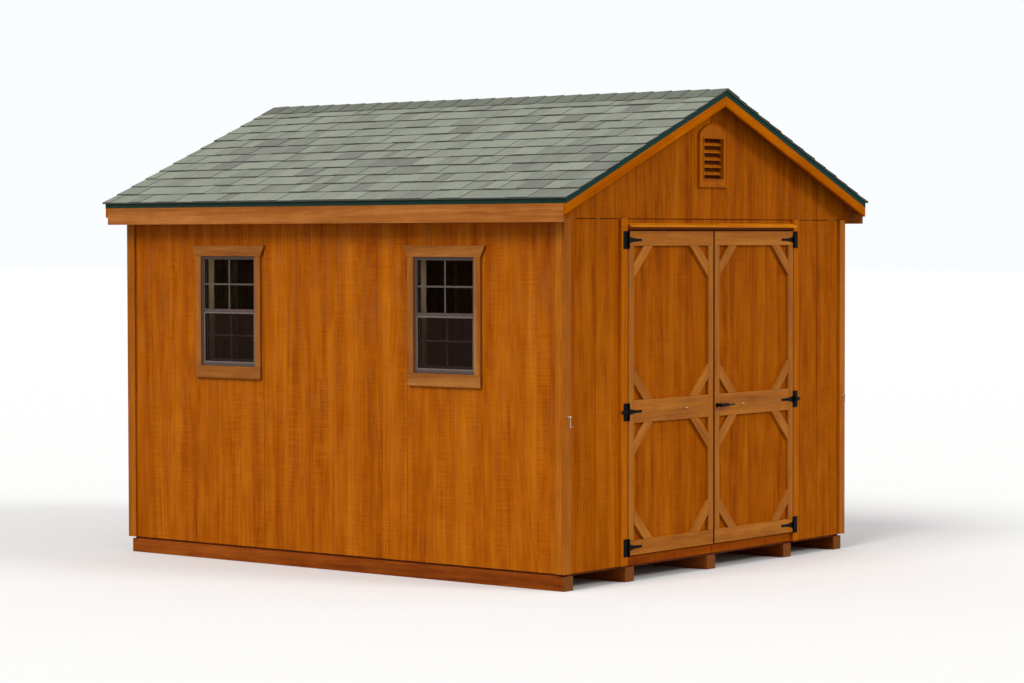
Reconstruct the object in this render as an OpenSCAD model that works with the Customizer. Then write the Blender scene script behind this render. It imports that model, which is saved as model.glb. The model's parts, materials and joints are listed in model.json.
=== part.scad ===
// Gabled wooden storage shed on timber skids, with a double door in the front
// gable and two windows in the left long wall.
// Front gable faces -Y, left wall faces -X, skids stand on Z = 0.

/* [Footprint] */
// Width over the siding, across the gables
shed_w = 3048; // [2700:1:3400]
// Length over the siding, along the ridge
shed_l = 3658; // [3400:1:4200]

/* [Base] */
// Side of the square skid timbers
skid_size = 89; // [70:1:120]
// Distance from the middle of an outer skid to the middle of the next one
skid_inset = 610; // [500:1:680]
// Depth of the floor joists
joist_h = 89; // [70:1:140]
// Thickness of the floor boards
floor_deck_t = 16; // [12:1:25]

/* [Framing] */
// Thickness of every framing timber
stud_t = 38; // [32:1:45]
// Depth of the wall studs
stud_d = 89; // [70:1:110]
// Distance from one stud, joist or rafter to the next
stud_spacing = 406.4; // [300:0.1:420]
// Depth of the header over the doorway
header_h = 140; // [120:1:150]
// How far the header reaches down behind the door leaves
header_lap = 44; // [30:1:60]
// Clearance where one framing timber meets another
joint_gap = 0.3; // [0.1:0.1:0.8]

/* [Siding] */
// Thickness of the wall siding
siding_t = 16; // [11:0.5:19]
// Height of the siding between the doorway and the seam
over_door_h = 64; // [55:1:80]
// Open joint between the lower and the gable siding
seam_gap = 5; // [2:1:10]
// Distance from one groove of the siding to the next
groove_pitch = 203.2; // [150:0.1:305]
// Width of a groove
groove_w = 9.5; // [6:0.5:12]
// Depth of a groove
groove_d = 2; // [1:0.5:4]
// Number of boards between grooves in one sheet of siding
boards_per_sheet = 6; // [4:1:6]
// How far a sheet's lip runs on behind the next sheet
sheet_lap = 6; // [4:1:12]
// Width of the joint between two sheets of siding at its face
sheet_joint = 2.5; // [1.5:0.5:4]
// Clearance between a sheet's lip and the sheet over it
sheet_gap = 0.8; // [0.5:0.1:1.5]
// How far the siding stops above the underside of the joists
siding_lift = 14; // [0:1:30]

/* [Trim] */
// Thickness of every trim board
trim_t = 19; // [15:1:22]
// Width of the corner boards on the gable walls
corner_board_w = 63.5; // [50:0.5:80]
// Width of the corner boards on the long walls
side_corner_board_w = 50; // [40:1:70]
// Width of the casings beside the doors
casing_w = 63.5; // [55:0.5:80]

/* [Roof] */
// Angle of the roof slopes
roof_angle = 22.62; // [20.5:0.01:26.5]
// Height of the rafter top above the wall plate, at its outer edge
heel_h = 68; // [60:1:80]
// Depth of the rafters
rafter_h = 89; // [80:1:110]
// Depth of the ridge board
ridge_board_h = 140; // [110:1:180]
// Siding face to the outer face of the fascia
eave_overhang = 123; // [90:1:180]
// Gable siding face to the outer face of the rake board
rake_overhang = 112; // [80:1:160]
// Thickness of the roof boards
roof_deck_t = 12; // [9:0.5:18]
// How far the fascia hangs below the top of the wall plates
fascia_drop = 120; // [110:1:130]
// Depth of the rake boards
rake_board_h = 89; // [75:1:120]
// Depth of the fly rafter behind each rake board
fly_rafter_h = 64; // [50:1:75]
// Clearance between the layers of the roof
layer_gap = 0.1; // [0.05:0.01:0.2]
// Thickness of the soffit
soffit_t = 10; // [8:1:16]
// How far the soffit lies above the lower edge of the fascia
soffit_lift = 5; // [2:1:12]

/* [Roofing] */
// Depth of the drip edge's face
drip_face = 33; // [25:1:40]
// Width of the drip edge's flange on the roof boards
drip_flange = 45; // [30:1:60]
// Thickness of the drip edge metal
drip_t = 0.8; // [0.6:0.1:1.5]
// Exposed length of each shingle course
shingle_exposure = 143; // [120:1:160]
// Height of a course at its lower edge
shingle_butt = 9; // [6:0.5:12]
// Height of a course where the next one covers it
shingle_thin = 3; // [2:0.5:5]
// How far the shingles reach past the drip edges
shingle_lip = 13; // [5:1:20]
// Height of a ridge tab at its lapping edge
cap_butt = 7.2; // [5:0.1:9]
// Reach of the ridge cap down each slope
cap_reach = 135; // [110:1:160]

/* [Doors] */
// Width between the two casings
door_opening_w = 1829; // [1600:1:1900]
// Height of each leaf
leaf_h = 1973; // [1950:1:1980]
// Lower edge of the leaves, above the lower edge of the siding
leaf_lift = 60; // [50:1:70]
// Gap between a leaf and its casing
leaf_side_gap = 8; // [6:0.5:10]
// Gap between the two leaves
leaf_middle_gap = 12; // [8:0.5:16]
// Gap over the leaves
leaf_top_gap = 8; // [6:0.5:12]
// Gap under the leaves
leaf_foot_gap = 6; // [5:0.5:10]
// Thickness of the grooved panel of a leaf
leaf_panel_t = 9.5; // [8:0.5:10]
// Width of the stiles and braces of a leaf
stile_w = 55; // [50:0.5:80]
// Width of the top and bottom rails
rail_w = 89; // [70:1:110]
// Width of the middle rail
mid_rail_w = 140; // [110:1:160]
// Lower edge of the middle rail, above the lower edge of the leaf
mid_rail_lift = 805; // [700:1:900]
// Distance of a brace's inner edge from its corner, along the rail
brace_reach = 195; // [140:1:240]
// Width of the corner braces
brace_w = 65; // [50:1:80]
// Open joint between the trim boards of a leaf
board_joint = 1; // [0.5:0.1:2]
// Reach of the drip cap over the doors
drip_cap_reach = 42; // [34:1:60]
// Height of the drip cap
drip_cap_h = 42; // [36:1:50]
// Depth of the drip cap's top
drip_cap_top = 10; // [6:1:16]
// Depth of the drip cap where it meets the doorway
drip_cap_foot = 8; // [6:1:20]
// Height of the drip cap's lip above the doorway
drip_cap_lip = 16; // [12:1:20]
// Thickness of the drip cap's front edge
drip_cap_edge = 10; // [5:1:12]

/* [Hardware] */
// Radius of the hinge barrels
barrel_r = 6; // [5:0.5:8]
// Radius of the hinge pins
hinge_pin_r = 2.5; // [2:0.1:3.5]
// Height of a hinge pad
pad_h = 108; // [90:1:130]
// Width of a hinge pad
pad_w = 44; // [35:1:50]
// Height of a strap where it leaves the barrel
strap_root_h = 48; // [40:1:56]
// Height of a strap at its tip
strap_tip_h = 16; // [12:1:24]
// Length of a strap from the barrel's centre
strap_l = 140; // [110:1:180]
// Thickness of pads and straps
plate_t = 3; // [2:0.5:4]
// Reach of the pointed tail of a middle hinge beyond its pad
tail_l = 33; // [20:1:40]
// Thickness of the pointed tail
tail_t = 9; // [5:0.5:12]
// Middle of the lowest hinge above the middle of the bottom rail
low_hinge_lift = 4; // [0:1:12]
// Room between the hinge barrels and the face of the trim
barrel_stand = 1; // [0.5:0.1:2]
// Running clearance in the hinges, eyes and handle
hardware_gap = 0.3; // [0.2:0.05:0.5]
// Radius of the handle's rose
rose_r = 14; // [12:0.5:20]
// Thickness of the handle's rose
rose_t = 6; // [4:0.5:10]
// Length of the handle from its axis to its tip
lever_l = 160; // [120:1:180]
// Length of the handle's grip from its axis
grip_l = 88; // [70:1:100]
// Height of the slim end of the handle
lever_tail_h = 11; // [8:1:14]
// Room for the fingers behind the handle
lever_stand = 26; // [22:1:32]
// Thickness of the handle
lever_t = 13; // [10:0.5:16]
// Radius of the ring of an eye screw
eye_ring_r = 7; // [6:0.5:9]
// Radius of the wire of the eyes and hooks
wire_r = 1.7; // [1.4:0.1:2]
// Length of a hold-back hook
hook_l = 60; // [45:1:75]
// Length of the bent end of a hold-back hook
hook_foot = 20; // [12:1:28]
// Clearance of a hook's loop round the wire that it hangs from
hook_play = 0.9; // [0.6:0.1:1.4]

/* [Windows] */
// Width of each window over its frame
window_w = 482; // [430:1:500]
// Height of each window over its frame
window_h = 712; // [600:1:740]
// Middle of each window from the joint of the siding's sheets beside it
window_reach = 305.4; // [300:0.2:380]
// Head of the windows under the head of the doors
window_drop = 156; // [125:1:220]
// Width of the window frame at its sides and head
window_frame_w = 12; // [10:1:24]
// Height of the window frame's sill
window_frame_foot = 20; // [12:1:30]
// Depth of the window frame
window_frame_d = 50; // [40:1:70]
// How far the window frame stands out of the siding
window_stand = 8; // [4:1:14]
// How far the upper sash lies behind the frame's outer edge
sash_setback = 4; // [3:1:8]
// Width of the upper sash at its sides and head
upper_sash_w = 8; // [6:0.5:14]
// Width of the lower sash at its sides
lower_sash_w = 16; // [12:1:24]
// Height of the meeting rails, where the sashes lap
meeting_rail_h = 20; // [14:1:28]
// Height of the lower sash's bottom rail
sash_foot_h = 26; // [16:1:36]
// Depth of a sash
sash_d = 16; // [12:1:20]
// Thickness of the glass
glass_t = 3; // [2:0.5:4]
// Thickness of the frame of the insect screens
screen_t = 8; // [5:1:10]
// Width of the boards beside a window
window_side_w = 50; // [40:0.5:75]
// Height of the head board over a window
window_head_h = 70; // [60:1:95]
// How far each end of the head board flares
head_flare = 36; // [10:1:50]
// Height of the board under a window
window_sill_h = 79; // [60:1:100]

/* [Gable vents] */
// Width of a vent over its frame
vent_w = 305; // [260:1:330]
// Height of a vent's frame up to the spring of its arch
vent_h = 335; // [300:1:360]
// Rise of a vent's arch
vent_rise = 64; // [50:1:90]
// Lower edge of a vent above the seam of the siding
vent_lift = 200; // [180:1:220]
// Width of a vent's frame at its sides
vent_side = 46; // [36:1:60]
// Height of a vent's frame under the louvres
vent_foot = 52; // [40:1:70]
// Height of a vent's frame between the louvres and the spring of its arch
vent_head = 30; // [20:1:50]
// Width of the raised rim and of the sleeve round the louvres
vent_rim = 8; // [5:1:12]
// Depth of the field between rim and sleeve
vent_relief = 5; // [3:1:8]
// Number of louvre slats
slat_count = 5; // [3:1:7]
// Thickness of a slat
slat_t = 8; // [6:0.5:12]
// Fall of a slat towards its outer edge
slat_fall = 14; // [8:1:20]
// Distance of the slats from the face of the vent
slat_setback = 18; // [8:1:22]

/* [Hidden] */
$fn = 48;

half_w = shed_w / 2;
half_l = shed_l / 2;

// levels
z_joist = skid_size;
z_joist_top = z_joist + joist_h;
z_floor = z_joist_top + floor_deck_t;
z_siding = z_joist + siding_lift;
z_leaf = z_siding + leaf_lift;
z_leaf_top = z_leaf + leaf_h;
z_doorway = z_leaf_top + leaf_top_gap;
z_lower_siding = z_doorway + over_door_h;
z_seam = z_lower_siding + seam_gap;

z_stud_low = z_floor + stud_t + joint_gap;
z_header = z_leaf_top - header_lap;
z_stud_top = z_header + header_h;
z_plate_low = z_stud_top + joint_gap;
z_plate_top = z_plate_low + 2 * stud_t;

sheet_w = boards_per_sheet * groove_pitch;
// the joints of a long wall's middle sheet, from the middle of the wall
side_joint_y = sheet_w / 2;
// how far a cut runs on past the face that it opens
cut_past = 1;

// faces of the wall framing
frame_x = half_w - siding_t;
frame_y = half_l - siding_t;
inner_x = frame_x - stud_d;
// length of a gable wall's framing between the long walls
gable_len = 2 * (inner_x - joint_gap);
jamb_x = door_opening_w / 2 - stud_t;

// roof slope
slope_s = sin(roof_angle);
slope_c = cos(roof_angle);
slope_m = slope_s / slope_c;
function z_rafter_top(x) = z_plate_top + heel_h + slope_m * (frame_x - abs(x));
function z_rafter_low(x) = z_rafter_top(x) - rafter_h / slope_c;
function z_deck_top(x) = z_rafter_top(x) + (layer_gap + roof_deck_t) / slope_c;
z_peak = z_deck_top(0);
eave_x = half_w + eave_overhang;
rake_y = half_l + rake_overhang;
z_fascia = z_plate_top - fascia_drop;
z_soffit = z_fascia + soffit_lift;
z_side_top = z_rafter_low(half_w) - joint_gap;
slope_len = (eave_x + shingle_lip) / slope_c;
// a point of the right slope: u down the slope from the ridge, v above the roof boards
function slope_pt(u, v) = [u * slope_c + v * slope_s, z_peak - u * slope_s + v * slope_c];

// heights above the roof boards: what lies under them, the metal edges, the shingles
deck_low = -roof_deck_t - layer_gap;
metal_v = [layer_gap, layer_gap + drip_t];
shingle_v = metal_v[1] + layer_gap;

// a point of the slope on a plumb line x, v above the roof boards
function plumb_pt(x, v) = [x, z_deck_top(x) + v / slope_c];

// doors
leaf_w = (door_opening_w - 2 * leaf_side_gap - leaf_middle_gap) / 2;
leaf_x0 = leaf_middle_gap / 2;
leaf_x1 = leaf_x0 + leaf_w;
z_mid_rail = z_leaf + mid_rail_lift;
z_mid = z_mid_rail + mid_rail_w / 2;
trim_face_y = -half_l - trim_t;
hinge_x = door_opening_w / 2 - leaf_side_gap / 2;
hinge_y = trim_face_y - barrel_r - barrel_stand;
hinge_zs = [z_leaf + rail_w / 2 + low_hinge_lift, z_mid, z_leaf_top - pad_h / 2];

// hold-back hooks
hook_x = half_w + trim_t - corner_board_w / 2;
hook_z = z_mid;
door_eye_x = 2 * hinge_x - hook_x;
eye_collar = 2;
eye_collar_r = 4;
eye_neck = 4;
eye_reach = eye_collar + eye_neck + eye_ring_r;
hook_pivot_y = trim_face_y - eye_reach - eye_ring_r;
hook_bore_r = wire_r + hook_play;
handle_x = leaf_x0 + stile_w / 2;

// windows
window_y = side_joint_y + window_reach;
window_ys = [-window_y, window_y];
z_window_top = z_leaf_top - window_drop;
z_window = z_window_top - window_h;
inner_w = window_w - 2 * window_frame_w;
z_pane0 = z_window + window_frame_foot;
z_pane1 = z_window_top - window_frame_w;
z_meet = (z_pane0 + z_pane1) / 2;
upper_sash_x = window_stand - sash_setback - sash_d;
lower_sash_x = upper_sash_x - sash_d - sheet_gap;

// gable vents
z_vent = z_seam + vent_lift;
z_vent_open = z_vent + vent_foot;
vent_open_w = vent_w - 2 * vent_side;
vent_open_h = vent_h - vent_foot - vent_head;

module block(xs, ys, zs) {
    translate([xs[0], ys[0], zs[0]])
        cube([xs[1] - xs[0], ys[1] - ys[0], zs[1] - zs[0]]);
}

// a profile drawn in X and Z, extruded from y0 to y1
module along_y(y0, y1) {
    translate([0, y1, 0]) rotate([90, 0, 0]) linear_extrude(y1 - y0) children();
}

// a profile drawn in Y and Z, extruded from x0 to x1
module along_x(x0, x1) {
    translate([x0, 0, 0]) rotate([90, 0, 90]) linear_extrude(x1 - x0) children();
}

module both_sides() {
    children();
    mirror([1, 0, 0]) children();
}

module both_ends() {
    children();
    mirror([0, 1, 0]) children();
}

// ---- base ----

module skids() {
    outer_x = half_w - skid_size / 2;
    color("saddlebrown")
        for (x = [-outer_x, skid_inset - outer_x, 0, outer_x - skid_inset, outer_x])
            translate([x - skid_size / 2, -half_l, 0])
                cube([skid_size, shed_l, skid_size]);
}

// two rim timbers along the long walls and joists across the skids between them
module floor_frame() {
    x_rim = frame_x - stud_t;
    count = floor((2 * frame_y - stud_t) / stud_spacing);
    color("peru") {
        both_sides() block([x_rim, frame_x], [-frame_y, frame_y], [z_joist, z_joist_top]);
        for (i = [0 : count])
            joist(x_rim, -frame_y + i * stud_spacing);
        joist(x_rim, frame_y - stud_t);
    }
}

module joist(x_rim, y) {
    block([-x_rim + joint_gap, x_rim - joint_gap], [y, y + stud_t], [z_joist, z_joist_top]);
}

module floor_deck() {
    color("burlywood")
        block([-frame_x, frame_x], [-frame_y, frame_y], [z_joist_top, z_floor]);
}

// ---- wall framing ----

// members of a wall along a line from 0 to len, drawn in X (along) and Z
module studs(positions, z0, z1, depth) {
    for (p = positions)
        block([p, p + stud_t], [0, depth], [z0, z1]);
}

// a sole plate and a double top plate
module plates(len) {
    block([0, len], [0, stud_d], [z_floor, z_floor + stud_t]);
    block([0, len], [0, stud_d], [z_plate_low, z_plate_low + stud_t - joint_gap]);
    block([0, len], [0, stud_d], [z_plate_low + stud_t, z_plate_top]);
}

// stud positions along a wall, without those that meet a window
function stud_row(len, windows) = [
    for (p = [for (i = [0 : ceil(len / stud_spacing) - 1])
              min(i * stud_spacing, len - stud_t)])
        if (len([for (w = windows) if (abs(p + stud_t / 2 - w) < window_clear) w]) == 0) p
];
// room that a window and its trimmers keep from the middle of the next stud
window_clear = window_w / 2 + 1.5 * stud_t + sheet_gap;

// trimmers, sill and head round one window, its middle at w
module window_framing(w) {
    x0 = w - window_w / 2 - stud_t;
    x1 = w + window_w / 2;
    studs([x0, x1], z_stud_low, z_stud_top, stud_d);
    for (z = [z_window - stud_t, z_window_top])
        block([x0 + stud_t + joint_gap, x1 - joint_gap], [0, stud_d], [z, z + stud_t]);
    block([w - stud_t / 2, w + stud_t / 2], [0, stud_d],
          [z_stud_low, z_window - stud_t - joint_gap]);
    block([w - stud_t / 2, w + stud_t / 2], [0, stud_d],
          [z_window_top + stud_t + joint_gap, z_stud_top]);
}

module long_wall_studs(windows) {
    len = 2 * frame_y;
    plates(len);
    studs(stud_row(len, windows), z_stud_low, z_stud_top, stud_d);
    studs([len - stud_t], z_stud_low, z_stud_top, stud_d);
    for (w = windows) window_framing(w);
}

module left_wall_studs() {
    color("wheat")
        translate([-frame_x, frame_y, 0]) rotate([0, 0, -90])
            long_wall_studs([for (y = window_ys) frame_y - y]);
}

module right_wall_studs() {
    color("wheat")
        translate([frame_x, -frame_y, 0]) rotate([0, 0, 90])
            long_wall_studs([]);
}

// studs of a gable between the wall plates and the end rafters, none behind the vent
module gable_studs() {
    count = floor((frame_x - rafter_h / slope_s) / stud_spacing);
    for (i = [1 : count], side = [-1, 1])
        translate([side * i * stud_spacing, 0, 0])
            block([-stud_t / 2, stud_t / 2], [-stud_t, 0],
                  [z_plate_top + joint_gap,
                   z_rafter_low(i * stud_spacing + stud_t / 2) - joint_gap]);
}

module back_wall_studs() {
    color("wheat") {
        translate([gable_len / 2, frame_y, 0]) rotate([0, 0, 180]) {
            plates(gable_len);
            studs(stud_row(gable_len, []), z_stud_low, z_stud_top, stud_d);
            studs([gable_len - stud_t], z_stud_low, z_stud_top, stud_d);
        }
        translate([0, frame_y, 0]) gable_studs();
    }
}

// the front wall beside the doorway, from its jamb to the long wall
module front_studs() {
    king_x = jamb_x + stud_t + joint_gap;
    end_x = gable_len / 2 - stud_t;
    color("wheat") {
        block([jamb_x, gable_len / 2], [-frame_y, -frame_y + stud_d], [z_floor, z_floor + stud_t]);
        for (x = [jamb_x, king_x, (king_x + end_x) / 2, end_x])
            block([x, x + stud_t], [-frame_y, -frame_y + stud_d],
                  [z_stud_low, x == jamb_x ? z_header - joint_gap : z_stud_top]);
    }
}

module front_studs_right() { front_studs(); }
module front_studs_left() { mirror([1, 0, 0]) front_studs(); }

// the header over the doorway, the top plates and the studs of the front gable
module front_header() {
    header_x = jamb_x + stud_t;
    color("wheat") {
        block([-header_x, header_x], [-frame_y, -frame_y + stud_d], [z_header, z_stud_top]);
        for (z = [z_plate_low, z_plate_low + stud_t])
            block([-gable_len / 2, gable_len / 2], [-frame_y, -frame_y + stud_d],
                  [z, z + stud_t - joint_gap]);
        translate([0, -frame_y + stud_t, 0]) gable_studs();
    }
}

// ---- siding ----

// Grooves are counted from the middle of each wall. A sheet is drawn in plan with its
// inner face on Y = 0 and its grooved face on Y = t. Two sheets share a groove, with
// the joint in its middle, and a lip of one runs on behind the other.
module sheet_plan(a, b, t, lapped_start, lapped_end) {
    lip_t = t / 2;
    floor_t = t - groove_d;
    side = groove_w / 2;
    mouth = sheet_joint / 2;
    inset = side + sheet_lap + sheet_gap;
    polygon(concat(
        lapped_start
            ? [[a + inset, 0], [a + inset, lip_t + sheet_gap], [a + mouth, lip_t + sheet_gap],
               [a + mouth, floor_t], [a + side, floor_t], [a + side, t]]
            : [[a, 0], [a, t]],
        [for (i = [ceil(a / groove_pitch) : floor(b / groove_pitch)])
            let (g = i * groove_pitch)
            if (g > a + groove_w && g < b - groove_w)
                for (p = [[-side, t], [-side, floor_t], [side, floor_t], [side, t]])
                    [g + p[0], p[1]]],
        lapped_end
            ? [[b - side, t], [b - side, floor_t], [b - mouth, floor_t], [b - mouth, lip_t],
               [b + side + sheet_lap, lip_t], [b + side + sheet_lap, 0]]
            : [[b, t], [b, 0]]
    ));
}

// sheets of siding side by side from a to b, with a joint on every line that lies a
// whole number of sheets from joint_at
module siding_sheets(a, b, z0, z1, joint_at) {
    first = floor((a + groove_w - joint_at) / sheet_w);
    last = ceil((b - groove_w - joint_at) / sheet_w) - 1;
    for (i = [first : last])
        translate([0, 0, z0])
            linear_extrude(z1 - z0)
                sheet_plan(i == first ? a : joint_at + i * sheet_w,
                           i == last ? b : joint_at + (i + 1) * sheet_w,
                           siding_t, i > first, i < last);
}

// sheets drawn from a to b along X, stood in the front wall's plane
module front_sheets(a, b, z0, z1) {
    translate([0, -frame_y, 0]) mirror([0, 1, 0]) siding_sheets(a, b, z0, z1, 0);
}

// a long wall's siding, stepped back above the seam where the gable siding laps its ends
module side_siding(windows) {
    y_top = frame_y - joint_gap;
    z_lap = z_seam - joint_gap;
    difference() {
        intersection() {
            translate([frame_x, 0, 0]) rotate([0, 0, -90])
                siding_sheets(-half_l, half_l, z_siding, z_side_top, side_joint_y);
            along_x(frame_x - cut_past, half_w + cut_past)
                polygon([
                    [-half_l, z_siding], [half_l, z_siding], [half_l, z_lap], [y_top, z_lap],
                    [y_top, z_side_top], [-y_top, z_side_top], [-y_top, z_lap], [-half_l, z_lap]
                ]);
        }
        for (y = windows)
            block([frame_x - cut_past, half_w + cut_past],
                  [y - window_w / 2, y + window_w / 2], [z_window, z_window_top]);
    }
}

module right_wall_siding() { color("peru") side_siding([]); }
module left_wall_siding() { color("peru") mirror([1, 0, 0]) side_siding(window_ys); }

module back_wall_siding() {
    x = frame_x - joint_gap;
    color("peru") mirror([0, 1, 0]) front_sheets(-x, x, z_siding, z_lower_siding);
}

module front_siding() {
    color("peru")
        front_sheets(door_opening_w / 2, frame_x - joint_gap, z_siding, z_lower_siding);
}

module front_siding_right() { front_siding(); }
module front_siding_left() { mirror([1, 0, 0]) front_siding(); }

module front_siding_over_door() {
    x = door_opening_w / 2 - joint_gap;
    color("peru") front_sheets(-x, x, z_doorway, z_lower_siding);
}

// the strip between the casings, below the leaves
module front_siding_under_doors() {
    x = door_opening_w / 2 - joint_gap;
    color("peru") front_sheets(-x, x, z_siding, z_leaf - leaf_foot_gap);
}

// the gable above the seam, with returns that close the boxed eaves
module gable_siding() {
    x1 = eave_x - trim_t - joint_gap;
    side = half_w + joint_gap;
    lift = -joint_gap - roof_deck_t / slope_c;
    hole = vent_rim + joint_gap;
    difference() {
        intersection() {
            front_sheets(-x1, x1, z_soffit, z_peak);
            along_y(-half_l - cut_past, -frame_y + cut_past)
                polygon([
                    [-x1, z_soffit], [-side, z_soffit], [-side, z_seam],
                    [side, z_seam], [side, z_soffit], [x1, z_soffit],
                    [x1, z_deck_top(x1) + lift], [0, z_peak + lift], [-x1, z_deck_top(x1) + lift]
                ]);
        }
        block([-vent_open_w / 2 - hole, vent_open_w / 2 + hole],
              [-half_l - cut_past, -frame_y + cut_past],
              [z_vent_open - hole, z_vent_open + vent_open_h + hole]);
    }
}

module front_gable_siding() { color("peru") gable_siding(); }
module back_gable_siding() { color("peru") mirror([0, 1, 0]) gable_siding(); }

// ---- roof frame ----

module rafter_profile() {
    x_top = stud_t / 2 + joint_gap;
    x_end = eave_x - trim_t - joint_gap;
    x_heel = frame_x;
    x_notch = x_heel - (z_plate_top + joint_gap - z_rafter_low(x_heel)) / slope_m;
    z_notch = z_plate_top + joint_gap;
    polygon([
        [x_top, z_rafter_low(x_top)], [x_notch, z_notch], [x_heel + joint_gap, z_notch],
        [x_heel + joint_gap, z_rafter_low(x_heel + joint_gap)],
        [x_end, z_rafter_low(x_end)], [x_end, z_rafter_top(x_end)],
        [x_top, z_rafter_top(x_top)]
    ]);
}

module fly_rafter_profile() {
    x_end = eave_x - trim_t - joint_gap;
    drop = fly_rafter_h / slope_c;
    polygon([
        [joint_gap, z_rafter_top(joint_gap) - drop], [x_end, z_rafter_top(x_end) - drop],
        [x_end, z_rafter_top(x_end)], [joint_gap, z_rafter_top(joint_gap)]
    ]);
}

module rafters() {
    count = floor((2 * frame_y - 2 * stud_t) / stud_spacing);
    color("wheat")
        both_sides() {
            for (i = [0 : count]) {
                y = -frame_y + i * stud_spacing;
                along_y(y, y + stud_t) rafter_profile();
            }
            along_y(frame_y - stud_t, frame_y) rafter_profile();
            both_ends()
                along_y(-rake_y + trim_t, -rake_y + trim_t + stud_t) fly_rafter_profile();
        }
}

module ridge_board() {
    z_top = z_rafter_top(stud_t / 2);
    color("wheat")
        block([-stud_t / 2, stud_t / 2], [-frame_y, frame_y], [z_top - ridge_board_h, z_top]);
}

module roof_deck() {
    x0 = joint_gap;
    color("burlywood")
        both_sides()
            along_y(-rake_y, rake_y)
                polygon([
                    plumb_pt(x0, -roof_deck_t), plumb_pt(eave_x, -roof_deck_t),
                    plumb_pt(eave_x, 0), plumb_pt(x0, 0)
                ]);
}

// ---- roofing ----

course_count = floor((slope_len - cap_reach) / shingle_exposure);
function course_v(u) =
    shingle_thin + (shingle_butt - shingle_thin)
    * max(0, 1 - (slope_len - course_count * shingle_exposure - u) / shingle_exposure);
cap_base = shingle_v + course_v(cap_reach) + layer_gap;

module shingle_profile() {
    top_u = shingle_thin;
    polygon(concat(
        [slope_pt(top_u, shingle_v), slope_pt(slope_len, shingle_v)],
        [for (i = [0 : course_count - 1])
            for (step = [0, 1])
                slope_pt(slope_len - (i + step) * shingle_exposure,
                         shingle_v + (step == 0 ? shingle_butt : shingle_thin))],
        [
            slope_pt(slope_len - course_count * shingle_exposure, shingle_v + shingle_butt),
            slope_pt(slope_len - (course_count + 1) * shingle_exposure, shingle_v + shingle_thin),
            slope_pt(top_u, shingle_v + shingle_thin)
        ]
    ));
}

module roof_shingles() {
    color("darkseagreen")
        both_sides()
            along_y(-rake_y - drip_t - shingle_lip, rake_y + drip_t + shingle_lip)
                shingle_profile();
}

// overlapping tabs folded over the ridge
module ridge_cap() {
    len = 2 * (rake_y + drip_t + shingle_lip);
    tabs = round(len / shingle_exposure);
    step = len / tabs;
    color("darkseagreen")
        both_sides()
            intersection() {
                translate([0, 0, z_peak]) rotate([0, roof_angle, 0])
                    along_x(-cap_reach / 4, cap_reach)
                        polygon(concat(
                            [[-len / 2, cap_base], [len / 2, cap_base]],
                            [for (i = [tabs - 1 : -1 : 0])
                                for (end = [1, 0])
                                    [-len / 2 + (i + end) * step,
                                     cap_base + (end == 1 ? shingle_thin : cap_butt)]]
                        ));
                block([layer_gap, shed_w], [-shed_l, shed_l], [0, 2 * z_peak]);
            }
}

module eave_drip_edges() {
    flange_y = rake_y - drip_flange - joint_gap;
    x0 = eave_x + layer_gap;
    x1 = x0 + drip_t;
    color("darkslategray")
        both_sides() {
            block([x0, x1], [-rake_y, rake_y],
                  [z_deck_top(eave_x) - drip_face, z_deck_top(eave_x)]);
            along_y(-flange_y, flange_y)
                polygon([
                    plumb_pt(eave_x - drip_flange, metal_v[0]), plumb_pt(x0, metal_v[0]),
                    [x0, z_deck_top(eave_x) - drip_t], [x1, z_deck_top(eave_x) - drip_t],
                    plumb_pt(x1, metal_v[1]), plumb_pt(eave_x - drip_flange, metal_v[1])
                ]);
        }
}

module rake_drip_edges() {
    x0 = joint_gap;
    x1 = eave_x - joint_gap;
    y0 = rake_y + layer_gap;
    color("darkslategray")
        both_ends() both_sides() {
            along_y(-y0 - drip_t, -y0)
                polygon([
                    plumb_pt(x0, -drip_face), plumb_pt(x1, -drip_face),
                    plumb_pt(x1, metal_v[1]), plumb_pt(x0, metal_v[1])
                ]);
            along_y(-y0, -rake_y + drip_flange)
                polygon([
                    plumb_pt(x0, metal_v[0]), plumb_pt(x1, metal_v[0]),
                    plumb_pt(x1, metal_v[1]), plumb_pt(x0, metal_v[1])
                ]);
        }
}

// ---- eaves ----

module fascias() {
    x0 = eave_x - trim_t;
    y = rake_y - trim_t - joint_gap;
    color("chocolate")
        both_sides()
            along_y(-y, y)
                polygon([
                    [x0, z_fascia], [eave_x, z_fascia],
                    plumb_pt(eave_x, deck_low), plumb_pt(x0, deck_low)
                ]);
}

module rake_boards() {
    x0 = joint_gap;
    color("chocolate")
        both_ends() both_sides()
            along_y(-rake_y, -rake_y + trim_t)
                polygon([
                    plumb_pt(x0, -rake_board_h), plumb_pt(eave_x, -rake_board_h),
                    plumb_pt(eave_x, deck_low), plumb_pt(x0, deck_low)
                ]);
}

module soffits() {
    color("peru")
        both_sides()
            block([half_w + joint_gap, eave_x - trim_t - joint_gap],
                  [-frame_y + joint_gap, frame_y - joint_gap],
                  [z_soffit, z_soffit + soffit_t]);
}

// ---- trim ----

module corner_boards() {
    x1 = half_w + trim_t;
    color("sandybrown")
        both_ends() both_sides() {
            block([x1 - corner_board_w, x1], [-half_l - trim_t, -half_l], [z_siding, z_seam]);
            block([half_w, x1], [-half_l + joint_gap, -half_l + side_corner_board_w],
                  [z_siding, z_soffit - joint_gap]);
        }
}

module door_casings() {
    color("sandybrown")
        both_sides()
            block([door_opening_w / 2, door_opening_w / 2 + casing_w],
                  [-half_l - trim_t, -half_l], [z_siding, z_seam]);
}

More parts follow.
